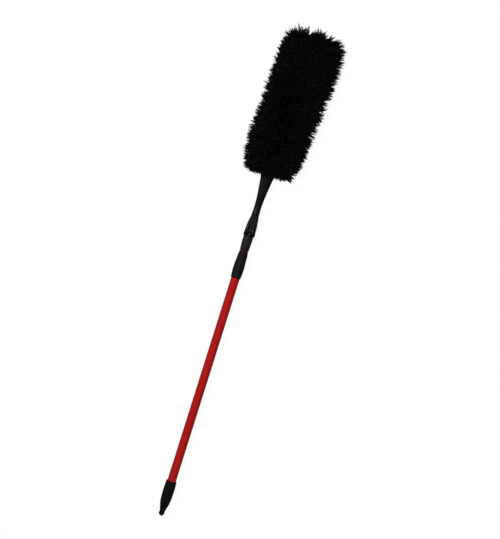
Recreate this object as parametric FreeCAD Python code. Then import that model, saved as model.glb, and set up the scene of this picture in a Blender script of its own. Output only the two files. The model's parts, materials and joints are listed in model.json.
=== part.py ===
import FreeCAD, Part

import math
import os

from FreeCAD import Vector as V

# A pile duster on a two-section telescopic pole, lying on its back on a floor.
# Every length is in millimetres. A "station" is a distance along the pole from the
# butt of the hang cap. Turned pieces are built upright on the Z axis and laid down
# along +Y. Flat pieces are built lying down, with the pole's axis at height zero.
# The last step moves everything so that the origin is on the floor, in the middle
# of the footprint.

# ---------------------------------------------------------------- driving dimensions

# pole tubes
OUTER_TUBE_R = 11.0
OUTER_TUBE_WALL = 1.0
INNER_TUBE_R = 9.5
INNER_TUBE_WALL = 0.9
OUTER_TUBE_START = 36.0
OUTER_TUBE_END = 686.0
INNER_TUBE_START = 95.0
INNER_TUBE_END = 712.0
RUNNING_GAP = 0.05
STAND_OFF = 0.3

# hang cap
CAP_END = 91.0
CAP_CAVITY_R = 6.0
CAP_CAVITY_START = 20.0
HANG_HOLE_R = 3.0
HANG_HOLE_STATION = 12.0
HANG_FLAT_R = 5.0
HANG_FLAT_X = 6.8

# collar and guide bush on the mouth of the outer tube
COLLAR_START = 623.0
COLLAR_END = 694.0
BUSH_START = 660.0
BUSH_FLANGE = 2.0

# eccentric lock on the lower end of the inner tube
CAM_OFFSET = 0.6
JOURNAL_R = 5.0
JOURNAL_START = 64.6
PLUG_FLANGE_START = 91.0
PLUG_FLANGE_R = 9.4
PLUG_END = 125.0
CAM_RING_GAP = 0.4
CAM_RING_PLAY = 0.8
CAM_RING_RUNNING_GAP = 0.07
CAM_RING_SLOT = 2.0
RETAINER_R = 7.5
RETAINER_THICKNESS = 1.5
SCREW_R = 1.5
SCREW_LENGTH = 13.0
SCREW_HEAD_R = 3.2
SCREW_HEAD_HEIGHT = 2.2
PIN_R = 1.5
PIN_HALF_LENGTH = 9.3
PLUG_PIN_STATION = 112.0
TIP_PIN_STATION = 672.0

# pole tip and its stud
TIP_START = 695.0
TIP_END = 732.4
TIP_SPIGOT_START = 655.0
STUD_R = 9.0
STUD_END = 762.0
STUD_CHAMFER = 1.2
WASHER_THICKNESS = 1.2
WASHER_R = 12.3

# wand handle
HANDLE_START = TIP_END + WASHER_THICKNESS
FLANGE_R = 14.75
SOCKET_END = 764.0
NECK_STATION = 808.0
NECK_R = 9.15
PADDLE_END = 935.0
FLUTE_COUNT = 12
FLUTE_START = 740.0
FLUTE_END = 792.5
FLUTE_FOOT_R = 3.4
FLUTE_FOOT_AXIS_R = 16.4
FLUTE_HEAD_R = 2.4
FLUTE_HEAD_AXIS_R = 11.2
BADGE_START = 804.0
BADGE_END = 841.0
BADGE_WIDTH = 9.0
BADGE_DEPTH = 0.8
BADGE_TURN_DEG = 17.0

# blade inside the head
BLADE_HALF_WIDTH = 32.0
BLADE_THICKNESS = 5.0
BLADE_TIP = 1238.0
BLADE_TIP_CORNER = 24.0
TONGUE_THICKNESS = 3.0
TONGUE_HALF_WIDTH = 22.0
TONGUE_START = 914.0
WIRE_R = 1.5
WIRE_X = 20.0
WIRE_START = 940.0
WIRE_TIP_MARGIN = 12.0
RIVET_R = 2.2
RIVET_X = 14.0
RIVET_STATION = 923.0
RIVET_HALF_LENGTH = 4.0

# bends of the blade
BEND_STATIONS = [955.0, 1050.0, 1145.0]
BEND_LIMIT_DEG = 30.0
BEND_GAP = 0.4
BEND_SPARE_DEG = 1.0

# pile of the sleeve
PILE_START = 890.0
PILE_END = 1274.0
PILE_LEFT = -79.0
PILE_RIGHT = 98.0
PILE_ABOVE_AXIS = 35.0
PILE_UNDER_ROUND = 8.0
PILE_TOP_ROUND = 18.0
CUFF_START = 905.0
CUFF_END = 917.0
CUFF_THICKNESS = 2.2

# where the finished duster stands in its frame
AXIS_HEIGHT = FLANGE_R
FRAME_SHIFT = V(-(PILE_LEFT + PILE_RIGHT) / 2, -PILE_END / 2, AXIS_HEIGHT)

# outline of the hang cap from its nose to its widest ring: radius, station
CAP_NOSE = [(0.0, 0.0), (5.2, 2.6), (7.3, 9.0)]
CAP_FLARE = [(8.5, 20.0), (9.9, 25.0), (11.4, 30.0), (12.5, 36.0), (13.5, 46.0), (14.0, 58.0),
             (14.15, 68.0), (13.9, 78.0), (13.4, CAP_END - 1.0)]
CAP_RIM = [(12.9, CAP_END)]

# outline of the collar: radius, station
COLLAR_SKIRT = [(11.9, COLLAR_START), (12.8, 627.5), (13.5, 636.0), (14.0, 649.0), (14.0, 656.0)]
COLLAR_NECK = [(13.6, 661.0), (12.5, 680.0), (11.9, 687.5), (10.9, COLLAR_END)]

# outline of the pole tip: radius, station
TIP_OUTLINE = [(10.9, TIP_START), (11.7, 700.5), (12.0, 706.0), (12.5, 719.0), (12.5, TIP_END)]

# outline of the wand's socket: radius, station
SOCKET_FLANGE = [(14.1, HANDLE_START), (FLANGE_R, 734.8), (FLANGE_R, 742.0), (14.1, 745.5)]
SOCKET_TAPER = [(13.75, 755.0), (13.2, 763.0), (12.4, 770.5), (11.0, 779.0), (9.9, 786.5),
                (9.4, 795.0), (NECK_R, NECK_STATION)]

# sections of the wand from its neck to its paddle: station, half width, half thickness
PADDLE_SECTIONS = [(824.0, 9.6, 8.9), (840.0, 10.9, 8.3), (856.0, 12.6, 7.7),
                   (872.0, 14.5, 7.1), (888.0, 16.8, 6.5), (904.0, 21.5, 5.9),
                   (920.0, 27.5, 5.3), (PADDLE_END, 31.0, 5.0)]

# outline of the pile seen from above: x, station, corner radius
PILE_OUTLINE = [(PILE_LEFT, PILE_START, 38.0), (79.0, PILE_START, 38.0), (80.5, 1015.0, 150.0),
                (PILE_RIGHT, 1155.0, 150.0), (PILE_RIGHT, PILE_END, 34.0),
                (-66.0, PILE_END, 36.0), (-69.0, 1140.0, 150.0), (PILE_LEFT, 1015.0, 150.0)]

OUTER_BORE_R = OUTER_TUBE_R - OUTER_TUBE_WALL
INNER_BORE_R = INNER_TUBE_R - INNER_TUBE_WALL
FULL_TURN = 360.0


# ---------------------------------------------------------------- building blocks

def cylinder(radius, start, end, x=0.0):
    """Upright cylinder between two stations."""
    return Part.makeCylinder(radius, end - start, V(x, 0, start), V(0, 0, 1))


def ring(outer, inner, start, end):
    """Upright tube between two stations."""
    return cylinder(outer, start, end).cut(cylinder(inner, start, end))


def cross_pin(radius, half_length, station):
    """Pin across the axis along X."""
    return Part.makeCylinder(radius, 2 * half_length, V(-half_length, 0, station), V(1, 0, 0))


def on_profile(points):
    """Points of a radius and station list, in the plane that is turned."""
    return [V(radius, 0, station) for radius, station in points]


def smooth_edge(points):
    """One smooth curve through points."""
    curve = Part.BSplineCurve()
    curve.interpolate(points)
    return curve.toShape()


def turned(edges):
    """Solid of revolution about Z from an outline that starts and ends on the axis."""
    first = edges[0].firstVertex().Point
    last = edges[-1].lastVertex().Point
    edges = edges + [Part.makeLine(last, first)]
    return Part.Face(Part.Wire(edges)).revolve(V(0, 0, 0), V(0, 0, 1), FULL_TURN)


def outline_edges(runs):
    """Edges through runs of points: a run of three or more is smooth, and joins are straight."""
    edges = []
    for index, run in enumerate(runs):
        points = on_profile(run)
        if index > 0:
            edges.append(Part.makeLine(edges[-1].lastVertex().Point, points[0]))
        if len(points) > 2:
            edges.append(smooth_edge(points))
        elif len(points) == 2:
            edges.append(Part.makeLine(points[0], points[1]))
    return edges


def to_axis(run, at_start):
    """A straight run between the axis and the first or last point of a run."""
    if at_start:
        return Part.makeLine(V(0, 0, run[0][1]), V(run[0][0], 0, run[0][1]))
    return Part.makeLine(V(run[-1][0], 0, run[-1][1]), V(0, 0, run[-1][1]))


def rounded_outline(corners):
    """Closed flat wire through corners (x, y, radius), each rounded by its own radius."""
    points = [V(x, y, 0) for x, y, radius in corners]
    ends = []
    arcs = []
    for index, (x, y, radius) in enumerate(corners):
        corner = points[index]
        back = (points[index - 1] - corner).normalize()
        ahead = (points[(index + 1) % len(points)] - corner).normalize()
        half = back.getAngle(ahead) / 2
        reach = radius / math.tan(half)
        inward = (back + ahead).normalize()
        middle = corner + inward * (radius / math.sin(half) - radius)
        ends.append((corner + back * reach, corner + ahead * reach))
        arcs.append(Part.Arc(ends[-1][0], middle, ends[-1][1]).toShape())
    edges = []
    for index, arc in enumerate(arcs):
        edges.append(arc)
        following = (index + 1) % len(arcs)
        edges.append(Part.makeLine(ends[index][1], ends[following][0]))
    return Part.Wire(edges)


def lay_down(shape):
    """An upright shape, laid along +Y."""
    shape = shape.copy()
    shape.rotate(V(0, 0, 0), V(1, 0, 0), -90)
    return shape


# ---------------------------------------------------------------- pole

def make_hang_cap():
    """Bullet-shaped cap with a blind socket for the tube and a hole across its nose."""
    edges = outline_edges([CAP_NOSE, CAP_FLARE, CAP_RIM])
    edges.append(to_axis(CAP_RIM, False))
    cap = turned(edges)
    cap = cap.cut(cylinder(OUTER_TUBE_R, OUTER_TUBE_START, CAP_END))
    cap = cap.cut(cylinder(CAP_CAVITY_R, CAP_CAVITY_START, OUTER_TUBE_START))
    cap = cap.cut(cross_pin(HANG_HOLE_R, FLANGE_R, HANG_HOLE_STATION))
    for side in (-1, 1):
        start = V(side * HANG_FLAT_X, 0, HANG_HOLE_STATION)
        flat = Part.makeCylinder(HANG_FLAT_R, FLANGE_R, start, V(side, 0, 0))
        cap = cap.cut(flat)
    return cap


def make_outer_tube():
    return ring(OUTER_TUBE_R, OUTER_BORE_R, OUTER_TUBE_START, OUTER_TUBE_END)


def make_collar_sleeve():
    """Collar over the tube's mouth, with a lip that holds the guide bush in."""
    edges = [to_axis(COLLAR_SKIRT, True)]
    edges += outline_edges([COLLAR_SKIRT, COLLAR_NECK])
    edges.append(to_axis(COLLAR_NECK, False))
    collar = turned(edges)
    bush_end = OUTER_TUBE_END + BUSH_FLANGE
    collar = collar.cut(cylinder(OUTER_TUBE_R, COLLAR_START, bush_end))
    return collar.cut(cylinder(INNER_TUBE_R + STAND_OFF, bush_end, COLLAR_END))


def make_guide_bush():
    bore = INNER_TUBE_R + RUNNING_GAP
    sleeve = ring(OUTER_BORE_R, bore, BUSH_START, OUTER_TUBE_END)
    flange = ring(OUTER_TUBE_R, bore, OUTER_TUBE_END, OUTER_TUBE_END + BUSH_FLANGE)
    return sleeve.fuse(flange).removeSplitter()


def make_inner_tube():
    tube = ring(INNER_TUBE_R, INNER_BORE_R, INNER_TUBE_START, INNER_TUBE_END)
    for station in (PLUG_PIN_STATION, TIP_PIN_STATION):
        tube = tube.cut(cross_pin(PIN_R, FLANGE_R, station))
    return tube


def make_cross_pin(station):
    return cross_pin(PIN_R, PIN_HALF_LENGTH, station)


def make_cam_plug():
    """Plug with an off-centre journal below its flange."""
    plug = cylinder(INNER_BORE_R, INNER_TUBE_START, PLUG_END)
    plug = plug.fuse(cylinder(PLUG_FLANGE_R, PLUG_FLANGE_START, INNER_TUBE_START))
    plug = plug.fuse(cylinder(JOURNAL_R, JOURNAL_START, PLUG_FLANGE_START, CAM_OFFSET))
    plug = plug.removeSplitter()
    screw_end = JOURNAL_START - RETAINER_THICKNESS + SCREW_LENGTH
    plug = plug.cut(cylinder(SCREW_R, JOURNAL_START, screw_end, CAM_OFFSET))
    return plug.cut(cross_pin(PIN_R, FLANGE_R, PLUG_PIN_STATION))


def make_cam_ring():
    """Split ring whose bore is off-centre by as much as the journal."""
    start = JOURNAL_START + CAM_RING_GAP
    end = PLUG_FLANGE_START - CAM_RING_GAP
    body = cylinder(OUTER_BORE_R - CAM_RING_RUNNING_GAP, start, end)
    body = body.cut(cylinder(JOURNAL_R + CAM_RING_PLAY, start, end, CAM_OFFSET))
    slot = Part.makeBox(OUTER_BORE_R, CAM_RING_SLOT, end - start, V(0, -CAM_RING_SLOT / 2, start))
    return body.cut(slot)


def make_cam_retainer():
    """Screw with a washer head that keeps the ring on the journal."""
    washer_start = JOURNAL_START - RETAINER_THICKNESS
    washer = cylinder(RETAINER_R, washer_start, JOURNAL_START, CAM_OFFSET)
    head = cylinder(SCREW_HEAD_R, washer_start - SCREW_HEAD_HEIGHT, washer_start, CAM_OFFSET)
    shank = cylinder(SCREW_R, washer_start, washer_start + SCREW_LENGTH, CAM_OFFSET)
    return washer.fuse([head, shank]).removeSplitter()


def make_pole_tip():
    """Tip with a skirt over the inner tube, a spigot inside it and a screw stud."""
    edges = [to_axis(TIP_OUTLINE, True)]
    edges += outline_edges([TIP_OUTLINE[:3], TIP_OUTLINE[3:]])
    edges.append(to_axis(TIP_OUTLINE, False))
    tip = turned(edges)
    tip = tip.cut(ring(INNER_TUBE_R, INNER_BORE_R, TIP_START, INNER_TUBE_END))
    spigot = cylinder(INNER_BORE_R, TIP_SPIGOT_START, TIP_START)
    stud = cylinder(STUD_R, TIP_END, STUD_END)
    stud = stud.makeChamfer(STUD_CHAMFER, [stud.Edges[0]])
    tip = tip.fuse([spigot, stud]).removeSplitter()
    return tip.cut(cross_pin(PIN_R, FLANGE_R, TIP_PIN_STATION))


def make_socket_washer():
    return ring(WASHER_R, STUD_R + STAND_OFF, TIP_END, HANDLE_START)


# ---------------------------------------------------------------- wand

def ellipse_wire(station, half_width, half_thickness):
    return Part.Wire([Part.Ellipse(V(0, 0, station), half_width, half_thickness).toShape()])


def wand_body(grow):
    """The wand without its bore, flutes and recesses, grown outward all over."""
    flange = [(radius + grow, station) for radius, station in SOCKET_FLANGE]
    taper = [(radius + grow, station) for radius, station in SOCKET_TAPER]
    edges = [to_axis(flange, True)]
    edges += [Part.makeLine(a, b) for a, b in zip(on_profile(flange), on_profile(flange)[1:])]
    edges += outline_edges([flange[-1:] + taper])
    edges.append(to_axis(taper, False))
    socket = turned(edges)
    neck = Part.Wire([Part.Circle(V(0, 0, NECK_STATION), V(0, 0, 1), NECK_R + grow).toShape()])
    sections = [neck]
    for station, half_width, half_thickness in PADDLE_SECTIONS:
        sections.append(ellipse_wire(station, half_width + grow, half_thickness + grow))
    paddle = Part.makeLoft(sections, True, False)
    return socket.fuse(paddle)


def flute_cutters():
    """Tapered round troughs with round ends, sunk into the socket all round."""
    foot = V(FLUTE_FOOT_AXIS_R, 0, FLUTE_START + FLUTE_FOOT_R)
    head = V(FLUTE_HEAD_AXIS_R, 0, FLUTE_END - FLUTE_HEAD_R)
    run = head - foot
    trough = Part.makeCone(FLUTE_FOOT_R, FLUTE_HEAD_R, run.Length, foot, run)
    trough = trough.fuse([Part.makeSphere(FLUTE_FOOT_R, foot), Part.makeSphere(FLUTE_HEAD_R, head)])
    cutters = []
    for index in range(FLUTE_COUNT):
        copy = trough.copy()
        copy.rotate(V(0, 0, 0), V(0, 0, 1), (index + 0.5) * FULL_TURN / FLUTE_COUNT)
        cutters.append(copy)
    return cutters


def badge_prism():
    """Long oval on the front of the neck, which faces up and a little to the right."""
    half = BADGE_WIDTH / 2
    low = BADGE_START + half
    high = BADGE_END - half
    edges = [
        Part.makeLine(V(half, 0, low), V(half, 0, high)),
        Part.Arc(V(half, 0, high), V(0, 0, BADGE_END), V(-half, 0, high)).toShape(),
        Part.makeLine(V(-half, 0, high), V(-half, 0, low)),
        Part.Arc(V(-half, 0, low), V(0, 0, BADGE_START), V(half, 0, low)).toShape(),
    ]
    prism = Part.Face(Part.Wire(edges)).extrude(V(0, -FLANGE_R, 0))
    prism.rotate(V(0, 0, 0), V(0, 0, 1), BADGE_TURN_DEG)
    return prism


def make_wand_handle():
    """Ribbed screw socket, thin neck and flat paddle with a slot for the blade's tongue."""
    handle = wand_body(0.0)
    handle = handle.cut(cylinder(STUD_R + RUNNING_GAP, HANDLE_START, SOCKET_END))
    for cutter in flute_cutters():
        handle = handle.cut(cutter)
    handle = handle.cut(badge_prism().cut(wand_body(-BADGE_DEPTH)))
    tongue = Part.makeBox(2 * TONGUE_HALF_WIDTH, TONGUE_THICKNESS, PADDLE_END - TONGUE_START,
                          V(-TONGUE_HALF_WIDTH, -TONGUE_THICKNESS / 2, TONGUE_START))
    handle = handle.cut(tongue)
    for x in (-RIVET_X, RIVET_X):
        hole = Part.makeCylinder(RIVET_R, 2 * FLANGE_R, V(x, -FLANGE_R, RIVET_STATION), V(0, 1, 0))
        handle = handle.cut(hole)
    return lay_down(handle)


def make_blade_rivets():
    rivets = []
    for x in (-RIVET_X, RIVET_X):
        base = V(x, RIVET_STATION, -RIVET_HALF_LENGTH)
        rivets.append(Part.makeCylinder(RIVET_R, 2 * RIVET_HALF_LENGTH, base, V(0, 0, 1)))
    return Part.makeCompound(rivets)


# ---------------------------------------------------------------- head

def bend_wedge(start, end, start_bends, end_bends):
    """Block between two stations whose bending ends slope back above and below the axis."""
    tall = 2 * PILE_ABOVE_AXIS
    wide = 2 * PILE_RIGHT
    slope = tall * math.tan(math.radians(BEND_LIMIT_DEG / 2 + BEND_SPARE_DEG))
    near = start + BEND_GAP if start_bends else start
    far = end - BEND_GAP if end_bends else end
    near_slope = slope if start_bends else 0.0
    far_slope = slope if end_bends else 0.0
    corners = [(near, 0.0), (near + near_slope, tall), (far - far_slope, tall),
               (far, 0.0), (far - far_slope, -tall), (near + near_slope, -tall)]
    points = [V(-wide, station, height) for station, height in corners]
    face = Part.Face(Part.makePolygon(points + points[:1]))
    return face.extrude(V(2 * wide, 0, 0))


def head_segments(start, end):
    """Blocks that divide a stretch of the head at the blade's bends."""
    stations = [start] + BEND_STATIONS + [end]
    blocks = []
    for index in range(len(stations) - 1):
        first = index == 0
        last = index == len(stations) - 2
        blocks.append(bend_wedge(stations[index], stations[index + 1], not first, not last))
    return blocks


def blade_slab(grow):
    """The whole blade, flat, with a rounded tip."""
    half = BLADE_HALF_WIDTH + grow
    tip = BLADE_TIP + grow
    square = 0.01
    corners = [(-half, PADDLE_END, square), (half, PADDLE_END, square),
               (half, tip, BLADE_TIP_CORNER), (-half, tip, BLADE_TIP_CORNER)]
    thickness = BLADE_THICKNESS + 2 * grow
    slab = Part.Face(rounded_outline(corners)).extrude(V(0, 0, thickness))
    slab.translate(V(0, 0, -thickness / 2))
    return slab


def wire_rods():
    """The two wires over the whole length of the blade."""
    rods = []
    for x in (-WIRE_X, WIRE_X):
        length = BLADE_TIP - WIRE_TIP_MARGIN - WIRE_START
        rods.append(Part.makeCylinder(WIRE_R, length, V(x, WIRE_START, 0), V(0, 1, 0)))
    return rods


def make_blades():
    """One blade solid for each stretch between bends; the first has the riveted tongue."""
    slab = blade_slab(0.0)
    tongue = Part.makeBox(2 * TONGUE_HALF_WIDTH, PADDLE_END - TONGUE_START, TONGUE_THICKNESS,
                          V(-TONGUE_HALF_WIDTH, TONGUE_START, -TONGUE_THICKNESS / 2))
    for rod in wire_rods():
        slab = slab.cut(rod)
    blades = [slab.common(block) for block in head_segments(PADDLE_END, BLADE_TIP)]
    blades[0] = blades[0].fuse(tongue).removeSplitter().cut(make_blade_rivets())
    return blades


def make_core_wires():
    wires = []
    for block in head_segments(PADDLE_END, BLADE_TIP):
        wires.append(Part.makeCompound([rod.common(block) for rod in wire_rods()]))
    return wires


def make_sleeve_cuff():
    """Elastic hem that follows the wand's oval where the sleeve ends."""
    outer = lay_down(wand_body(STAND_OFF + CUFF_THICKNESS))
    inner = lay_down(wand_body(STAND_OFF))
    wide = 2 * PILE_RIGHT
    stretch = Part.makeBox(wide, CUFF_END - CUFF_START, wide, V(-wide / 2, CUFF_START, -wide / 2))
    return outer.cut(inner).common(stretch)


def make_piles():
    """Soft outer shape of the pile, one solid for each stretch between bends."""
    outline = rounded_outline(PILE_OUTLINE)
    height = AXIS_HEIGHT + PILE_ABOVE_AXIS
    body = Part.Face(outline).extrude(V(0, 0, height))
    under_edges = [edge for edge in body.Edges if edge.BoundBox.ZMax < STAND_OFF]
    body = body.makeFillet(PILE_UNDER_ROUND, under_edges)
    top_edges = [edge for edge in body.Edges if edge.BoundBox.ZMin > height - STAND_OFF]
    body = body.makeFillet(PILE_TOP_ROUND, top_edges)
    body.translate(V(0, 0, -AXIS_HEIGHT))
    wide = 2 * PILE_RIGHT
    cuff_room = Part.makeBox(wide, CUFF_END + STAND_OFF - CUFF_START, wide,
                             V(-wide / 2, CUFF_START, -wide / 2))
    cuff_room = cuff_room.common(lay_down(wand_body(2 * STAND_OFF + CUFF_THICKNESS)))
    wand_room = lay_down(wand_body(STAND_OFF))
    body = body.cut(cuff_room).cut(wand_room).cut(blade_slab(STAND_OFF))
    return [body.common(block) for block in head_segments(PILE_START, PILE_END)]


# ---------------------------------------------------------------- assembly

def numbered(name, shapes):
    return {f"{name}_{index + 1}": shape for index, shape in enumerate(shapes)}


def build():
    """Every node by name, in its place in the frame."""
    turned_parts = {
        "hang_cap": make_hang_cap(),
        "outer_tube": make_outer_tube(),
        "collar_sleeve": make_collar_sleeve(),
        "guide_bush": make_guide_bush(),
        "inner_tube": make_inner_tube(),
        "cam_plug": make_cam_plug(),
        "cam_ring": make_cam_ring(),
        "cam_retainer": make_cam_retainer(),
        "plug_pin": make_cross_pin(PLUG_PIN_STATION),
        "tip_pin": make_cross_pin(TIP_PIN_STATION),
        "pole_tip": make_pole_tip(),
        "socket_washer": make_socket_washer(),
    }
    nodes = {name: lay_down(shape) for name, shape in turned_parts.items()}
    nodes["wand_handle"] = make_wand_handle()
    nodes["blade_rivets"] = make_blade_rivets()
    nodes["sleeve_cuff"] = make_sleeve_cuff()
    nodes.update(numbered("blade", make_blades()))
    nodes.update(numbered("core_wires", make_core_wires()))
    nodes.update(numbered("pile", make_piles()))
    placed = {}
    for name, shape in nodes.items():
        shape = shape.copy()
        shape.translate(FRAME_SHIFT)
        placed[name] = shape
    return placed


def main():
    os.makedirs("parts", exist_ok=True)
    for name, shape in build().items():
        solids = shape.Solids
        if len(solids) == 1:
            shape = solids[0]
        if not shape.isValid():
            raise RuntimeError(f"{name} is not a valid solid")
        shape.exportStep(os.path.join("parts", f"{name}.step"))
        print(f"{name}: {len(solids)} solid(s), {shape.Volume:.0f} cubic millimetres")


main()
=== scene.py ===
import json
import math

import bpy
import numpy as np
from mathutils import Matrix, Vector


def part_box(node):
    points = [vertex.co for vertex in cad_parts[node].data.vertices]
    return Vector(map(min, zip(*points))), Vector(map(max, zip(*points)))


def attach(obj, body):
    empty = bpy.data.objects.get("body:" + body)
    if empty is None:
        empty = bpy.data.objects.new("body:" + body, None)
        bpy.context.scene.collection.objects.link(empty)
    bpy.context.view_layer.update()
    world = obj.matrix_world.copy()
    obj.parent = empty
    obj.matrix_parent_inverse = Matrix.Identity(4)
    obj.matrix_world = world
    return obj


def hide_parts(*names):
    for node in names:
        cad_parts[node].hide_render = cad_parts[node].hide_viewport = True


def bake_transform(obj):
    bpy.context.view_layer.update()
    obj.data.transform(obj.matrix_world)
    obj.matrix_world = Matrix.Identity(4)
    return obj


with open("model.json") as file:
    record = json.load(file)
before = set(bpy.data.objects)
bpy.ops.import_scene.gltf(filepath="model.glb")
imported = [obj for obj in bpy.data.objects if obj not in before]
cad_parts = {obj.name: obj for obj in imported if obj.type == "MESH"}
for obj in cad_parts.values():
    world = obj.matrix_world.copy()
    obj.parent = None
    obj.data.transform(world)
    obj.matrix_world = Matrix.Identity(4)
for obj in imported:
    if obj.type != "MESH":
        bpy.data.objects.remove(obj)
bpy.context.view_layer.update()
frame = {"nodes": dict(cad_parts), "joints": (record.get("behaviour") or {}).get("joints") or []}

# A long pile duster on a telescopic pole, lying on a pale studio floor.
# Lengths are in metres. A station is a distance along the pole from the butt of the cap.

MM = 0.001
NODES = frame["nodes"]

# ---------------------------------------------------------------- places read from the frame


def box_centre(node):
    low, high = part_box(node)
    return (low + high) / 2


BUTT_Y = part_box("hang_cap")[0].y
AXIS_X = box_centre("outer_tube").x
AXIS_Z = box_centre("outer_tube").z


def hinge_y(name):
    joint = next(joint for joint in frame["joints"] if joint["name"] == name)
    return joint["pos_m"][1]


BEND_YS = [hinge_y("bend_1"), hinge_y("bend_2"), hinge_y("bend_3")]
BEND_MIDDLES = [(BEND_YS[0] + BEND_YS[1]) / 2, (BEND_YS[1] + BEND_YS[2]) / 2]
PILE_START_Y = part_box("pile_1")[0].y
PILE_END_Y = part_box("pile_4")[1].y
PILE_TOP_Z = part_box("pile_4")[1].z
CUFF_START_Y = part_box("sleeve_cuff")[0].y
CUFF_END_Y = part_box("sleeve_cuff")[1].y
BLADE_TIP_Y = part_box("blade_4")[1].y


def smooth_step(value):
    value = np.clip(value, 0.0, 1.0)
    return value * value * (3.0 - 2.0 * value)


def smooth_path(points, at):
    """The value at a station of a smooth run through (station in mm, value in mm) points."""
    stations = np.array([point[0] for point in points]) * MM + BUTT_Y
    values = np.array([point[1] for point in points]) * MM
    at = np.clip(at, stations[0], stations[-1])
    index = np.clip(np.searchsorted(stations, at) - 1, 0, len(points) - 2)
    share = (at - stations[index]) / (stations[index + 1] - stations[index])
    return values[index] + (values[index + 1] - values[index]) * smooth_step(share)


# ---------------------------------------------------------------- camera and stage

CAMERA_LENS = 72.0
CAMERA_DISTANCE = 2.7
CAMERA_ROLL = math.radians(17.465)
AIM_ALONG = 0.655
AIM_RIGHT = 0.0283
FLOOR_GLOW = 0.93
SURROUND_LIGHT = 0.28


def make_camera():
    """Looks straight down at the duster, turned so that the pole leans in the picture."""
    data = bpy.data.cameras.new("camera")
    data.lens = CAMERA_LENS
    camera = bpy.data.objects.new("camera", data)
    camera.location = (AXIS_X + AIM_RIGHT, BUTT_Y + AIM_ALONG, AXIS_Z + CAMERA_DISTANCE)
    camera.rotation_euler = (0.0, 0.0, CAMERA_ROLL)
    bpy.context.scene.collection.objects.link(camera)
    bpy.context.scene.camera = camera


def make_area_light(name, place, aim, length, width, power):
    """A soft box whose length runs level, across the way it points."""
    data = bpy.data.lights.new(name, "AREA")
    data.shape = "RECTANGLE"
    data.size = length
    data.size_y = width
    data.energy = power
    light = bpy.data.objects.new(name, data)
    light.location = place
    light.rotation_mode = "QUATERNION"
    light.rotation_quaternion = (Vector(aim) - Vector(place)).to_track_quat("-Z", "Y")
    light.visible_camera = False
    bpy.context.scene.collection.objects.link(light)


def make_floor():
    """Pale floor that glows a little, so that it photographs as plain white paper."""
    side = 12.0
    mesh = bpy.data.meshes.new("floor")
    corners = [(-side, -side, 0.0), (side, -side, 0.0), (side, side, 0.0), (-side, side, 0.0)]
    mesh.from_pydata(corners, [], [(0, 1, 2, 3)])
    floor = bpy.data.objects.new("floor", mesh)
    bpy.context.scene.collection.objects.link(floor)
    material, shader = new_material("floor_paper")
    shader.inputs["Base Color"].default_value = (0.12, 0.12, 0.12, 1.0)
    shader.inputs["Roughness"].default_value = 1.0
    shader.inputs["Specular IOR Level"].default_value = 0.0
    shader.inputs["Emission Color"].default_value = (1.0, 1.0, 1.0, 1.0)
    shader.inputs["Emission Strength"].default_value = FLOOR_GLOW
    mesh.materials.append(material)
    floor.visible_diffuse = False
    floor.visible_glossy = False


def make_surround():
    """White to look at, and a soft even light on the duster."""
    world = bpy.data.worlds.new("studio")
    world.use_nodes = True
    tree = world.node_tree
    white = tree.nodes["Background"]
    white.inputs["Color"].default_value = (1.0, 1.0, 1.0, 1.0)
    soft = tree.nodes.new("ShaderNodeBackground")
    soft.inputs["Color"].default_value = (1.0, 1.0, 1.0, 1.0)
    soft.inputs["Strength"].default_value = SURROUND_LIGHT
    path = tree.nodes.new("ShaderNodeLightPath")
    mix = tree.nodes.new("ShaderNodeMixShader")
    tree.links.new(path.outputs["Is Camera Ray"], mix.inputs["Fac"])
    tree.links.new(soft.outputs["Background"], mix.inputs[1])
    tree.links.new(white.outputs["Background"], mix.inputs[2])
    tree.links.new(mix.outputs["Shader"], tree.nodes["World Output"].inputs["Surface"])
    bpy.context.scene.world = world


def make_stage():
    make_floor()
    make_surround()
    make_area_light("key", (-1.5, 0.8, 2.0), (0.0, 0.6, 0.0), 0.9, 0.2, 27.0)
    make_area_light("top", (0.2, 0.0, 2.9), (0.0, 0.0, 0.0), 1.6, 1.6, 16.0)
    bpy.context.scene.view_settings.view_transform = "Standard"


# ---------------------------------------------------------------- materials

def new_material(name):
    material = bpy.data.materials.new(name)
    material.use_nodes = True
    return material, material.node_tree.nodes["Principled BSDF"]


def add_node(material, kind, **values):
    node = material.node_tree.nodes.new(kind)
    for key, value in values.items():
        setattr(node, key, value)
    return node


def link(material, source, target):
    material.node_tree.links.new(source, target)


def object_noise(material, scale, detail=3.0, stretch=(1.0, 1.0, 1.0)):
    """A noise value over the piece's own space, which can be stretched along an axis."""
    place = add_node(material, "ShaderNodeTexCoord")
    mapping = add_node(material, "ShaderNodeMapping")
    mapping.inputs["Scale"].default_value = stretch
    noise = add_node(material, "ShaderNodeTexNoise")
    noise.inputs["Scale"].default_value = scale
    noise.inputs["Detail"].default_value = detail
    link(material, place.outputs["Object"], mapping.inputs["Vector"])
    link(material, mapping.outputs["Vector"], noise.inputs["Vector"])
    return noise.outputs["Fac"]


def remap(material, value, start, end, low, high):
    """The value, spread from the range start to end over the range low to high."""
    node = add_node(material, "ShaderNodeMapRange")
    node.inputs["From Min"].default_value = start
    node.inputs["From Max"].default_value = end
    node.inputs["To Min"].default_value = low
    node.inputs["To Max"].default_value = high
    link(material, value, node.inputs["Value"])
    return node.outputs["Result"]


def sum_of(material, first, second):
    node = add_node(material, "ShaderNodeMath", operation="ADD")
    link(material, first, node.inputs[0])
    link(material, second, node.inputs[1])
    return node.outputs["Value"]


def along_object(material):
    """The surface's place along the pole in the piece's own space."""
    place = add_node(material, "ShaderNodeTexCoord")
    split = add_node(material, "ShaderNodeSeparateXYZ")
    link(material, place.outputs["Object"], split.inputs["Vector"])
    return split.outputs["Y"]


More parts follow.
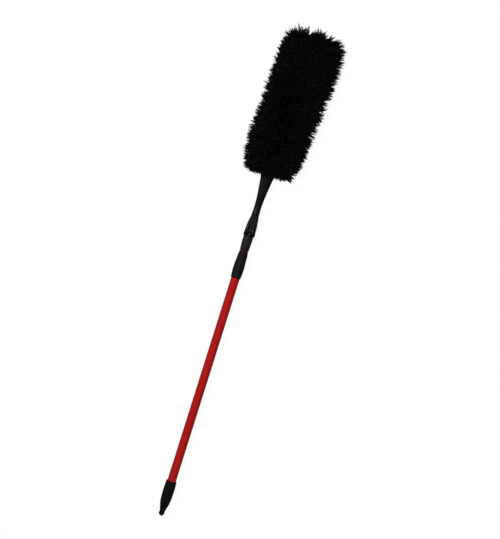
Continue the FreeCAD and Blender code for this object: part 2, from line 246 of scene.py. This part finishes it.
def colour_between(material, value, dark, light):
    ramp = add_node(material, "ShaderNodeValToRGB")
    ramp.color_ramp.elements[0].position = 0.3
    ramp.color_ramp.elements[1].position = 0.7
    ramp.color_ramp.elements[0].color = (*dark, 1.0)
    ramp.color_ramp.elements[1].color = (*light, 1.0)
    link(material, value, ramp.inputs["Fac"])
    return ramp.outputs["Color"]


def bump(material, shader, value, strength, distance):
    node = add_node(material, "ShaderNodeBump")
    node.inputs["Strength"].default_value = strength
    node.inputs["Distance"].default_value = distance
    link(material, value, node.inputs["Height"])
    link(material, node.outputs["Normal"], shader.inputs["Normal"])


def surface_material(name, dark, light, rough, grain, grain_depth, stretch=(1.0, 1.0, 1.0),
                     specular=0.5):
    """A moulded, painted or drawn surface: cloudy colour, uneven gloss and a fine grain."""
    material, shader = new_material(name)
    cloud = object_noise(material, 60.0, 4.0, stretch)
    link(material, colour_between(material, cloud, dark, light), shader.inputs["Base Color"])
    smudge = object_noise(material, 25.0, 5.0)
    link(material, remap(material, smudge, 0.3, 0.7, *rough), shader.inputs["Roughness"])
    fine = object_noise(material, grain, 2.0, stretch)
    bump(material, shader, fine, 0.6, grain_depth)
    shader.inputs["Specular IOR Level"].default_value = specular
    return material, shader


def red_paint():
    """Powder-coated steel tube: deep red, satin, with a slight orange peel."""
    material, _ = surface_material(
        "red_powder_coat", (0.50, 0.0070, 0.0072), (0.56, 0.0088, 0.0090), (0.42, 0.50),
        900.0, 0.00006, specular=0.10)
    return material


def cap_plastic():
    material, _ = surface_material(
        "black_cap_plastic", (0.0014, 0.0014, 0.0012), (0.0030, 0.0030, 0.0026), (0.50, 0.62),
        2200.0, 0.00008, specular=0.10)
    return material


def collar_moulding():
    material, _ = surface_material(
        "collar_moulding", (0.0046, 0.0046, 0.0044), (0.0068, 0.0068, 0.0065), (0.46, 0.56),
        2600.0, 0.00006, specular=0.12)
    return material


def tip_moulding():
    material, _ = surface_material(
        "tip_moulding", (0.0065, 0.0065, 0.0061), (0.0092, 0.0092, 0.0086), (0.46, 0.56),
        2600.0, 0.00006, specular=0.18)
    return material


GLOSSY_UNTIL = 792.0
SATIN_FROM = 815.0


def gloss_black():
    """Moulded wand: polished on the ribbed socket, satin on the neck and the paddle."""
    material, shader = surface_material(
        "gloss_black_moulding", (0.0009, 0.0010, 0.0011), (0.0019, 0.0020, 0.0022),
        (0.0, 0.05), 500.0, 0.00003, specular=0.13)
    smudge = shader.inputs["Roughness"].links[0].from_socket
    polish = remap(material, along_object(material), BUTT_Y + GLOSSY_UNTIL * MM,
                   BUTT_Y + SATIN_FROM * MM, 0.06, 0.62)
    link(material, sum_of(material, smudge, polish), shader.inputs["Roughness"])
    return material


def pale_nylon():
    material, shader = surface_material(
        "pale_nylon", (0.52, 0.52, 0.48), (0.62, 0.62, 0.58), (0.45, 0.55), 1500.0, 0.00005)
    shader.inputs["Subsurface Weight"].default_value = 0.1
    return material


def grey_nylon():
    material, _ = surface_material(
        "grey_nylon", (0.10, 0.10, 0.10), (0.14, 0.14, 0.14), (0.45, 0.55), 1500.0, 0.00005)
    return material


def drawn_steel():
    material, shader = surface_material(
        "drawn_steel", (0.46, 0.46, 0.45), (0.60, 0.60, 0.58), (0.25, 0.38), 400.0, 0.00003,
        (1.0, 0.05, 1.0))
    shader.inputs["Metallic"].default_value = 1.0
    return material


def washer_rubber():
    material, _ = surface_material(
        "washer_rubber", (0.010, 0.010, 0.010), (0.018, 0.018, 0.018), (0.7, 0.85),
        1800.0, 0.00008)
    return material


def blade_plastic():
    material, _ = surface_material(
        "blade_plastic", (0.014, 0.014, 0.014), (0.022, 0.022, 0.022), (0.5, 0.6),
        1400.0, 0.0001, (1.0, 0.2, 1.0))
    return material


def pile_fibre():
    """Black synthetic fibre: each strand its own tone, with painted shade that darkens it towards
    its root, so it shows lighter and a little browner at its tip.
    """
    material, shader = new_material("pile_fibre")
    shade = add_node(material, "ShaderNodeAttribute", attribute_name="shade")
    tip = add_node(material, "ShaderNodeAttribute", attribute_name="tip")
    strand = colour_between(material, shade.outputs["Fac"],
                            (0.0038, 0.0040, 0.0033), (0.0108, 0.0110, 0.0090))
    # painted shade: the strand's colour fades to near black towards its root, where shade falls
    # deep in the pile
    mix = add_node(material, "ShaderNodeMix", data_type="RGBA")
    link(material, tip.outputs["Fac"], mix.inputs["Factor"])
    mix.inputs[6].default_value = (0.0008, 0.0008, 0.0008, 1.0)
    link(material, strand, mix.inputs[7])
    link(material, mix.outputs[2], shader.inputs["Base Color"])
    shader.inputs["Roughness"].default_value = 0.75
    shader.inputs["Specular IOR Level"].default_value = 0.08
    return material


def knitted_backing():
    """Fine rib knit under the pile."""
    material, shader = new_material("knitted_backing")
    place = add_node(material, "ShaderNodeTexCoord")
    ribs = add_node(material, "ShaderNodeTexWave", wave_type="BANDS", bands_direction="Y")
    ribs.inputs["Scale"].default_value = 260.0
    ribs.inputs["Distortion"].default_value = 1.5
    link(material, place.outputs["Object"], ribs.inputs["Vector"])
    link(material, colour_between(material, ribs.outputs["Fac"], (0.003, 0.003, 0.003),
                                  (0.009, 0.009, 0.009)), shader.inputs["Base Color"])
    shader.inputs["Roughness"].default_value = 0.9
    bump(material, shader, ribs.outputs["Fac"], 0.8, 0.0004)
    return material


# ---------------------------------------------------------------- mesh building

def mesh_piece(name, vertices, faces, material, smooth=True):
    mesh = bpy.data.meshes.new(name)
    mesh.from_pydata([tuple(v) for v in vertices], [], faces)
    mesh.materials.append(material)
    mesh.polygons.foreach_set("use_smooth", [smooth] * len(mesh.polygons))
    mesh.update()
    piece = bpy.data.objects.new(name, mesh)
    bpy.context.scene.collection.objects.link(piece)
    return piece


def ring_faces(rows, columns, close_rows=False):
    """Quads of rings that follow one another, each closed on itself."""
    faces = []
    for row in range(rows if close_rows else rows - 1):
        above = (row + 1) % rows
        for column in range(columns):
            ahead = (column + 1) % columns
            faces.append((row * columns + column, row * columns + ahead,
                          above * columns + ahead, above * columns + column))
    return faces


# ---------------------------------------------------------------- threaded pole tip

THREAD_LEAD = 5.08 * MM
THREAD_CREST_R = 9.0 * MM
THREAD_DEPTH = 1.25 * MM
THREAD_START = 734.6
THREAD_END = 760.4
TIP_COLUMNS = 96
TIP_SPIGOT = [(0.0, 655.0), (7.9, 655.0), (8.4, 655.6), (8.4, 694.9)]
TIP_BODY = [(10.6, 695.0), (10.95, 695.4), (11.35, 698.0), (11.7, 700.5), (12.0, 706.0),
            (12.2, 711.0), (12.5, 719.0), (12.5, 731.85), (12.1, 732.3), (7.8, 732.3)]
STUD_ROWS = 116
STUD_BASE = 732.5
STUD_TOP = 762.0
STUD_CHAMFER_LENGTH = 1.2
STUD_CHAMFER_DEPTH = 0.9 * MM
THREAD_RUN_IN = 2.5
THREAD_RUN_OUT = 2.0
THREAD_FLATTENING = 1.15


def thread_height(turn):
    """Rounded thread form: 1 at the crest, 0 at the root, over one lead."""
    wave = 0.5 + 0.5 * np.cos(turn * 2.0 * math.pi)
    return smooth_step(wave * THREAD_FLATTENING)


def stud_radius(station, angle):
    """Radius of the screw at a station and an angle: crest, root and run-out at both ends."""
    along = (station - THREAD_START) * MM / THREAD_LEAD
    height = thread_height(along - angle / (2.0 * math.pi))
    run_in = smooth_step((station - THREAD_START) / THREAD_RUN_IN)
    run_out = smooth_step((THREAD_END - station) / THREAD_RUN_OUT)
    crest = THREAD_CREST_R - THREAD_DEPTH * (1.0 - height * run_in * run_out)
    chamfer = np.clip((STUD_TOP - station) / STUD_CHAMFER_LENGTH, 0.0, 1.0)
    return crest - STUD_CHAMFER_DEPTH * (1.0 - chamfer)


def make_threaded_tip(material):
    """Pole tip with its spigot, its shoulder and the screw that carries the wand."""
    angle = np.arange(TIP_COLUMNS) * 2.0 * math.pi / TIP_COLUMNS
    rings = [(radius * MM + 0.0 * angle, station) for radius, station in TIP_SPIGOT[1:] + TIP_BODY]
    for station in np.linspace(STUD_BASE, STUD_TOP, STUD_ROWS):
        rings.append((stud_radius(station, angle), station))
    rows = [np.stack([AXIS_X + radius * np.cos(angle), 0.0 * angle + BUTT_Y + station * MM,
                      AXIS_Z - radius * np.sin(angle)], axis=-1) for radius, station in rings]
    vertices = list(np.concatenate(rows))
    faces = ring_faces(len(rows), TIP_COLUMNS)
    foot = len(vertices)
    vertices.append((AXIS_X, BUTT_Y + TIP_SPIGOT[0][1] * MM, AXIS_Z))
    vertices.append((AXIS_X, BUTT_Y + STUD_TOP * MM, AXIS_Z))
    last = (len(rows) - 1) * TIP_COLUMNS
    for column in range(TIP_COLUMNS):
        ahead = (column + 1) % TIP_COLUMNS
        faces.append((ahead, column, foot))
        faces.append((last + column, last + ahead, foot + 1))
    piece = mesh_piece("pole_tip_screw", vertices, faces, material)
    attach(piece, "inner_pole")
    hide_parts("pole_tip")


# ---------------------------------------------------------------- sleeve under the pile

SLEEVE_THICKNESS = 1.2 * MM
SLEEVE_COLUMNS = 72
SLEEVE_ROW = 2.6 * MM
TIP_CORNER = 24.0 * MM
SLEEVE_START_Y = CUFF_END_Y - 3.0 * MM
SLEEVE_END_Y = BLADE_TIP_Y + 2.0 * SLEEVE_THICKNESS
SLEEVE_HALF_WIDTHS = [(910, 25.6), (920, 29.4), (936, 33.2), (1240, 33.2)]
SLEEVE_HALF_HEIGHTS = [(910, 7.4), (936, 6.6), (950, 3.9), (1240, 3.9)]
SLEEVE_SIDE_POWER = 0.8
SLEEVE_TOP_POWER = 0.9
SLEEVE_CLOSING = 3.0 * MM
SLEEVE_LEAST_SHARE = 0.02
BACKING_LAP = 1.5 * MM
RUCK_DEPTH = 0.18 * MM
RUCK_SPAN = 4.0 * MM
RIB_DEPTH = 0.10 * MM
RIB_COUNT = 18
CUFF_COLUMNS = 240
CUFF_THICKNESS = 2.2 * MM
CUFF_SINK = 0.05 * MM
CUFF_HALF_WIDTHS = [(904, 21.6), (920, 27.6)]
CUFF_HALF_HEIGHTS = [(904, 6.0), (920, 5.4)]
GATHER_DEPTH = 0.16 * MM
GATHER_COUNT = 60

# section of the hem: share of its length, share of its thickness
CUFF_PROFILE = [(0.0, 0.15), (0.25, 0.0), (0.75, 0.0), (1.0, 0.15), (1.0, 0.55), (0.93, 0.85),
                (0.78, 0.98), (0.62, 0.90), (0.50, 1.0), (0.38, 0.90), (0.22, 0.98),
                (0.07, 0.85), (0.0, 0.55)]


def sleeve_half_width(y):
    """Half the width of the sleeve round the blade, with the blade's rounded tip corners."""
    past_corner = np.clip(y - (SLEEVE_END_Y - TIP_CORNER), 0.0, TIP_CORNER)
    corner = TIP_CORNER - np.sqrt(TIP_CORNER ** 2 - past_corner ** 2)
    return smooth_path(SLEEVE_HALF_WIDTHS, y) - corner


def sleeve_half_height(y):
    close = np.clip((SLEEVE_END_Y - y) / SLEEVE_CLOSING, SLEEVE_LEAST_SHARE, 1.0)
    return smooth_path(SLEEVE_HALF_HEIGHTS, y) * np.sqrt(close)


def sleeve_point(angle, y, inset=0.0):
    """A point on the flattened sleeve at an angle round the pole."""
    c, s = np.cos(angle), np.sin(angle)
    x = (sleeve_half_width(y) - inset) * np.sign(c) * np.abs(c) ** SLEEVE_SIDE_POWER
    z = (sleeve_half_height(y) - inset) * np.sign(s) * np.abs(s) ** SLEEVE_TOP_POWER
    return np.stack([AXIS_X + x, y + 0.0 * angle, AXIS_Z + z], axis=-1)


def blend_over_bend(piece):
    """Bakes the piece's placement into its mesh."""
    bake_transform(piece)


def make_backing(material):
    """Knitted tube stretched over the blade: one band for each bend, rucked a little."""
    angle = np.arange(SLEEVE_COLUMNS) * 2.0 * math.pi / SLEEVE_COLUMNS
    ends = [SLEEVE_START_Y, *BEND_MIDDLES, SLEEVE_END_Y]
    laps = [BACKING_LAP, BACKING_LAP, 0.0]
    for band, lap in enumerate(laps):
        start = ends[band]
        end = ends[band + 1] + lap
        count = int((end - start) / SLEEVE_ROW) + 1
        rows = []
        for y in np.linspace(start, end, count):
            ruck = RUCK_DEPTH * math.sin(y / RUCK_SPAN) + RIB_DEPTH * np.sin(angle * RIB_COUNT)
            rows.append(sleeve_point(angle, y, -ruck))
        vertices = list(np.concatenate(rows))
        faces = ring_faces(count, SLEEVE_COLUMNS)
        piece = mesh_piece(f"sleeve_backing_{band + 1}", vertices, faces, material)
        blend_over_bend(piece)


def make_cuff(material):
    """Elastic hem of the sleeve round the wand's paddle, gathered into small ribs."""
    angle = np.arange(CUFF_COLUMNS) * 2.0 * math.pi / CUFF_COLUMNS
    gather = GATHER_DEPTH * np.cos(angle * GATHER_COUNT)
    rows = []
    for along, out in CUFF_PROFILE:
        y = CUFF_START_Y + (CUFF_END_Y - CUFF_START_Y) * along
        grow = CUFF_THICKNESS * out + gather * out - CUFF_SINK
        x = (smooth_path(CUFF_HALF_WIDTHS, y) + grow) * np.cos(angle)
        z = (smooth_path(CUFF_HALF_HEIGHTS, y) + grow) * np.sin(angle)
        rows.append(np.stack([AXIS_X + x, y + 0.0 * angle, AXIS_Z + z], axis=-1))
    faces = ring_faces(len(CUFF_PROFILE), CUFF_COLUMNS, close_rows=True)
    piece = mesh_piece("sleeve_cuff_elastic", list(np.concatenate(rows)), faces, material)
    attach(piece, "wand")
    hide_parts("sleeve_cuff")


# ---------------------------------------------------------------- pile of the head

ABOVE = PILE_TOP_Z - AXIS_Z
BELOW = AXIS_Z
FLOOR_CLEARANCE = 0.4 * MM
SOFT_FLOOR = 6.0 * MM
SOFT_TOP = 53.0 * MM
SOFT_TOP_PLAY = 8.0 * MM
PILE_HALF_WIDTHS = [(890, 61), (903, 69), (920, 76), (945, 82), (980, 83.5), (1000, 85.5),
                    (1090, 85.5), (1140, 88.5), (1205, 89), (1246, 83.5), (1264, 75), (1274, 65)]
PILE_SEED = 7
SECTION_POWER = 0.8
UNDERSIDE_SHARE = 1.9
UNDERSIDE_TUFTS = 0.55
TYPICAL_HALF_WIDTH = 80 * MM
OUTLINE_STEPS = 721
SPOT_SCATTER = 0.25
ROOT_START_Y = CUFF_START_Y + 2.0 * MM
ROOT_END_MARGIN = 4 * MM
SIDE_TIP_MARGIN = 5 * MM
SIDE_TIP_SHORTENING = 20 * MM
SIDE_TIP_SCATTER = 5.0
FULL_LOCK_SHARE = 0.8
FULL_LOCK_SCATTER = 0.025
SHORT_LOCKS = (0.65, 0.96)
ROOT_TURN_SCATTER = 0.12
END_ROUND_FROM = 0.8
END_ROUND_DEPTH = 30 * MM
END_HEIGHT_SHARE = 0.9
SIDE_TUFTS = 4000
TOP_TUFTS = 240
MOUTH_TUFTS = 190
STRANDS_PER_TUFT = 10
EVEN_STEPS = (0.7548777, 0.5698403)
TOP_CLUMP_PITCH = 55 * MM
TOP_CLUMP_PLACE = 10 * MM
TOP_CLUMP_DEPTH = 5.2 * MM
BANDS_OF_BEND = [3, 2, 4]
STANDS_FOR = {1: "pile_1", 4: "pile_2", 6: "pile_3", 9: "pile_4"}
RINGS = 6
STRAND_SIDES = 3
STRAND_TAPER = [0.80, 0.95, 0.95, 0.85, 0.60, 0.0]
STRAND_THICKNESS = (0.50, 0.85)
LOCK_TIP_SCATTER = 1.9
LOCK_HOOK = 4.5 * MM
LOCK_BOW = 3.5 * MM
LOCK_SHADES = (0.15, 0.85)
STRAND_SHADE_SCATTER = 0.14
STRAND_ROOT_SCATTER = 1.3 * MM
STRAND_SHORTFALL = 2.1
STRAND_BELLY = 2.3 * MM
STRAND_RISE = 0.05
LOCK_POINT_SPREAD = 0.40 * MM
SHORT_STRAND_SPREAD = 0.28
CRIMP_DEPTH = 0.6 * MM
CRIMP_WAVES = 1.6
CRIMP_FROM = 0.1
PILE_SHIFTS = [(980, 0), (1040, 4), (1060, 6.5), (1110, 8), (1170, 13), (1274, 15.5)]


def pile_half_width(y):
    return smooth_path(PILE_HALF_WIDTHS, y)


def pile_shift(y):
    """The pile leans to the right towards the end of the head."""
    return smooth_path(PILE_SHIFTS, y)


def section_outline(angle):
    """The pile's section for a half width of 1: rounded, and flat where it rests."""
    c, s = np.cos(angle), np.sin(angle)
    x = np.sign(c) * np.abs(c) ** SECTION_POWER
    up = np.sign(s) * np.abs(s) ** SECTION_POWER
    return x, np.where(up > 0, ABOVE * up, BELOW * UNDERSIDE_SHARE * up)


def even_spots(rng, count):
    """Pairs of shares between 0 and 1, scattered evenly and nudged a little."""
    index = np.arange(count)[:, None]
    nudge = rng.normal(0.0, SPOT_SCATTER, (count, 2)) / math.sqrt(count)
    spots = index * np.array(EVEN_STEPS) + nudge
    return spots[:, 0] % 1.0, spots[:, 1] % 1.0


def outline_angle(share):
    """The angle at a share of the section's outline, with fewer tufts underneath."""
    table = np.linspace(0.0, 2.0 * math.pi, OUTLINE_STEPS)
    x, z = section_outline(table)
    step = np.hypot(np.diff(x) * TYPICAL_HALF_WIDTH, np.diff(z))
    step = np.where(z[1:] < -0.5 * BELOW, step * UNDERSIDE_TUFTS, step)
    length = np.concatenate([[0.0], np.cumsum(step)])
    return np.interp(share * length[-1], length, table)


def side_tufts(rng, count):
    """Roots and tips of the tufts all round the sleeve."""
    share, around = even_spots(rng, count)
    y_root = ROOT_START_Y + share * (SLEEVE_END_Y - ROOT_END_MARGIN - ROOT_START_Y)
    reach = PILE_END_Y - PILE_START_Y - SIDE_TIP_SHORTENING
    y_tip = PILE_START_Y + SIDE_TIP_MARGIN + share * reach
    calm_at_ends = np.clip(8 * share * (1 - share), 0.25, 1)
    y_tip = y_tip + rng.normal(0.0, SIDE_TIP_SCATTER, count) * MM * calm_at_ends
    angle = outline_angle(around)
    x, z = section_outline(angle)
    inside = np.clip(y_tip, PILE_START_Y + 1 * MM, PILE_END_Y - 3 * MM)
    depth = np.where(rng.uniform(0, 1, count) < FULL_LOCK_SHARE,
                     1.0 - np.abs(rng.normal(0, FULL_LOCK_SCATTER, count)),
                     rng.uniform(*SHORT_LOCKS, count))
    tip = np.stack([AXIS_X + pile_shift(inside) + x * pile_half_width(inside) * depth, y_tip,
                    AXIS_Z + z * depth], axis=-1)
    root_angle = np.arctan2(z / ABOVE, x) + rng.normal(0.0, ROOT_TURN_SCATTER, count)
    return sleeve_point(root_angle, y_root), tip


def end_tufts(rng, count, y_root_low, y_root_high, y_end, outward, inner, end_noise, clump):
    """Roots and tips of the tufts that fan out over one end of the head."""
    around, spread = even_spots(rng, count)
    angle = outline_angle(around)
    x, z = section_outline(angle)
    radius = np.sqrt(inner ** 2 + (1.0 - inner ** 2) * spread)
    y_tip = y_end + rng.normal(0.0, 1.0, count) * end_noise
    y_tip = y_tip - outward * np.maximum(radius - END_ROUND_FROM, 0.0) * END_ROUND_DEPTH
    across = x * radius * pile_half_width(y_end)
    y_tip = y_tip + clump * np.cos((across - TOP_CLUMP_PLACE) * 2 * math.pi / TOP_CLUMP_PITCH)
    half = pile_half_width(np.clip(y_tip, PILE_START_Y, PILE_END_Y))
    tip = np.stack([AXIS_X + pile_shift(y_tip) + x * radius * half, y_tip,
                    AXIS_Z + z * radius * END_HEIGHT_SHARE], axis=-1)
    y_root = rng.uniform(y_root_low, y_root_high, count)
    return sleeve_point(np.arctan2(z / ABOVE, x), y_root), tip


def tuft_plan(rng):
    """Roots and tips of every tuft: round the sides, over the end and round the mouth."""
    plans = [
        side_tufts(rng, SIDE_TUFTS),
        end_tufts(rng, TOP_TUFTS, SLEEVE_END_Y - 30 * MM, SLEEVE_END_Y - 2 * MM,
                  PILE_END_Y - 7 * MM, 1.0, 0.0, 6.2 * MM, TOP_CLUMP_DEPTH),
        end_tufts(rng, MOUTH_TUFTS, ROOT_START_Y, ROOT_START_Y + 14 * MM,
                  PILE_START_Y, -1.0, 0.3, 1.5 * MM, 0.0),
    ]
    root = np.concatenate([plan[0] for plan in plans])
    tip = np.concatenate([plan[1] for plan in plans])
    return root, tip


def strand_pattern(sides, rings):
    """Triangles of one tapered strand, and the place of each corner on its strip of map."""
    triangles = []
    places = []

    def add(corners):
        triangles.append([(ring * sides + side % sides) if ring < rings - 1
                          else (rings - 1) * sides for ring, side in corners])
        places.append([((side + 0.5 * (ring == rings - 1)) / sides, ring / (rings - 1))
                       for ring, side in corners])

    for ring in range(rings - 2):
        for side in range(sides):
            add([(ring, side), (ring, side + 1), (ring + 1, side + 1)])
            add([(ring, side), (ring + 1, side + 1), (ring + 1, side)])
    for side in range(sides):
        add([(rings - 2, side), (rings - 2, side + 1), (rings - 1, side)])
    triangles.append([2, 1, 0])
    places.append([(0.8, 0.0), (0.5, 0.06), (0.2, 0.0)])
    return np.array(triangles), np.array(places)


def strand_mesh(name, path, radius, shade, material):
    """Thin three-sided tapered strands along paths: path is strands by rings by 3."""
    strands, rings, _ = path.shape
    sides = STRAND_SIDES
    step = np.diff(path, axis=1)
    tangent = np.concatenate([step, step[:, -1:]], axis=1)
    tangent /= np.linalg.norm(tangent, axis=2, keepdims=True) + 1e-12
    across = np.cross(tangent, np.array([0.31, 0.17, 0.93]))
    across /= np.linalg.norm(across, axis=2, keepdims=True) + 1e-12
    other = np.cross(tangent, across)
    turn = np.arange(sides) * (2.0 * math.pi / sides)
    ring = (across[:, :, None, :] * np.cos(turn)[None, None, :, None]
            + other[:, :, None, :] * np.sin(turn)[None, None, :, None])
    vertices = path[:, :, None, :] + ring * radius[:, :, None, None]
    body = vertices[:, :-1].reshape(strands, (rings - 1) * sides, 3)
    per_strand = (rings - 1) * sides + 1
    points = np.concatenate([body, path[:, -1:, :]], axis=1).reshape(-1, 3)
    points[:, 2] = settled_height(points[:, 2])

    pattern, places = strand_pattern(sides, rings)
    offsets = (np.arange(strands) * per_strand)[:, None, None]
    corners = (pattern[None] + offsets).reshape(-1)
    mesh = bpy.data.meshes.new(name)
    mesh.vertices.add(len(points))
    mesh.vertices.foreach_set("co", points.astype(np.float32).ravel())
    count = len(corners) // 3
    mesh.loops.add(len(corners))
    mesh.loops.foreach_set("vertex_index", corners.astype(np.int32))
    mesh.polygons.add(count)
    mesh.polygons.foreach_set("loop_start", np.arange(count, dtype=np.int32) * 3)
    mesh.polygons.foreach_set("use_smooth", np.ones(count, bool))
    mesh.materials.append(material)

    across_map = math.ceil(math.sqrt(strands))
    cell = np.stack([np.arange(strands) % across_map, np.arange(strands) // across_map], axis=-1)
    spot = (cell[:, None, None, :] + 0.1 + 0.8 * places[None]) / across_map
    layer = mesh.uv_layers.new(name="OFBake")
    layer.data.foreach_set("uv", spot.astype(np.float32).ravel())

    # painted shade: a value from 0 at the root to 1 at the tip, which the pile material uses to
    # darken each strand towards its root
    along = np.repeat(np.linspace(0.0, 1.0, rings)[:-1], sides)
    root_shade_gradient = np.tile(np.append(along, 1.0) ** 2, strands)
    add_point_value(mesh, "tip", root_shade_gradient)
    add_point_value(mesh, "shade", np.repeat(shade, per_strand))
    mesh.update(calc_edges=True)
    piece = bpy.data.objects.new(name, mesh)
    bpy.context.scene.collection.objects.link(piece)
    return piece


def settled_height(z):
    """Heights near the floor, squeezed as the pile flattens on it, and stray tops drawn in."""
    pressed = SOFT_FLOOR * np.exp((np.minimum(z, SOFT_FLOOR) - SOFT_FLOOR) / SOFT_FLOOR)
    over = np.maximum(z - SOFT_TOP, 0.0)
    top = np.minimum(z, SOFT_TOP) + over / (1.0 + over / SOFT_TOP_PLAY)
    return np.where(z < SOFT_FLOOR, pressed, top) + FLOOR_CLEARANCE


def add_point_value(mesh, name, values):
    attribute = mesh.attributes.new(name, "FLOAT", "POINT")
    attribute.data.foreach_set("value", np.asarray(values, np.float32))


def sideways(rng, outward, size):
    """Random steps across the way each tuft points."""
    step = rng.normal(0.0, 1.0, outward.shape) * size
    return step - outward * np.sum(step * outward, axis=-1, keepdims=True)


def pile_strands(rng):
    """Paths, radii and shades of every strand: each tuft is a lock drawn to one point."""
    root, tip = tuft_plan(rng)
    tufts = len(root)
    total = tufts * STRANDS_PER_TUFT
    outward = tip - root
    outward /= np.linalg.norm(outward, axis=1, keepdims=True)
    tip = tip + outward * rng.normal(0.0, LOCK_TIP_SCATTER, (tufts, 1)) * MM
    hook = sideways(rng, outward, LOCK_HOOK)
    bow = sideways(rng, outward, LOCK_BOW)
    shade = np.repeat(rng.uniform(*LOCK_SHADES, tufts), STRANDS_PER_TUFT)
    shade = shade + rng.normal(0.0, STRAND_SHADE_SCATTER, total)

    away = np.repeat(outward, STRANDS_PER_TUFT, axis=0)
    start = np.repeat(root, STRANDS_PER_TUFT, axis=0) + sideways(rng, away, STRAND_ROOT_SCATTER)
    short = np.abs(rng.normal(0.0, STRAND_SHORTFALL, (total, 1))) * MM
    end = np.repeat(tip, STRANDS_PER_TUFT, axis=0) - away * short
    end = end + sideways(rng, away, 1.0) * (LOCK_POINT_SPREAD + SHORT_STRAND_SPREAD * short)
    reach = np.linalg.norm(end - start, axis=1, keepdims=True)
    belly = sideways(rng, away, STRAND_BELLY) + np.repeat(bow, STRANDS_PER_TUFT, axis=0)
    middle = start + (end - start) * 0.5 + away * reach * STRAND_RISE + belly

    t = np.linspace(0.0, 1.0, RINGS)[None, :, None]
    path = ((1 - t) ** 2 * start[:, None] + 2 * t * (1 - t) * middle[:, None]
            + t ** 2 * end[:, None])
    path = path + np.repeat(hook, STRANDS_PER_TUFT, axis=0)[:, None] * t ** 4
    wave = rng.uniform(0.0, 2.0 * math.pi, (total, 1))
    across = np.cross(end - start, rng.normal(0.0, 1.0, (total, 3)))
    across /= np.linalg.norm(across, axis=1, keepdims=True) + 1e-9
    phase = wave + t[..., 0] * 2.0 * math.pi * CRIMP_WAVES
    crimp = np.sin(phase) * CRIMP_DEPTH * (1 - t[..., 0] ** 3)
    path = path + across[:, None, :] * crimp[..., None] * (t > CRIMP_FROM)

    thick = rng.uniform(*STRAND_THICKNESS, (total, 1)) * MM
    radius = np.array(STRAND_TAPER)[None, :] * thick
    return path, radius, shade, np.repeat(root[:, 1], STRANDS_PER_TUFT)


def make_pile(material):
    """All the pile, in bands grouped by the hinge nearest to their roots."""
    path, radius, shade, y_root = pile_strands(np.random.default_rng(PILE_SEED))
    zones = [-math.inf, *BEND_MIDDLES, math.inf]
    band = 0
    for bend in range(len(BEND_YS)):
        zone = np.nonzero((y_root >= zones[bend]) & (y_root < zones[bend + 1]))[0]
        zone = zone[np.argsort(y_root[zone], kind="stable")]
        for chosen in np.array_split(zone, BANDS_OF_BEND[bend]):
            band += 1
            piece = strand_mesh(f"pile_band_{band}", path[chosen], radius[chosen],
                                shade[chosen], material)
            blend_over_bend(piece)
            if band in STANDS_FOR:
                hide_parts(STANDS_FOR[band])


# ---------------------------------------------------------------- assembly

def finish_cad_nodes():
    """Every node that stays visible from the CAD gets its finished surface."""
    steel = drawn_steel()
    nylon = pale_nylon()
    red = red_paint()
    blade = blade_plastic()
    chosen = {
        "hang_cap": cap_plastic(), "outer_tube": red, "inner_tube": red,
        "collar_sleeve": collar_moulding(), "guide_bush": nylon, "cam_ring": nylon,
        "cam_plug": grey_nylon(), "cam_retainer": steel, "plug_pin": steel, "tip_pin": steel,
        "blade_rivets": steel, "socket_washer": washer_rubber(), "wand_handle": gloss_black(),
    }
    for number in range(1, 5):
        chosen[f"blade_{number}"] = blade
        chosen[f"core_wires_{number}"] = steel
    for name, material in chosen.items():
        node = NODES[name]
        node.data.materials.clear()
        node.data.materials.append(material)


make_camera()
make_stage()
knit = knitted_backing()
finish_cad_nodes()
make_threaded_tip(tip_moulding())
make_backing(knit)
make_cuff(knit)
make_pile(pile_fibre())
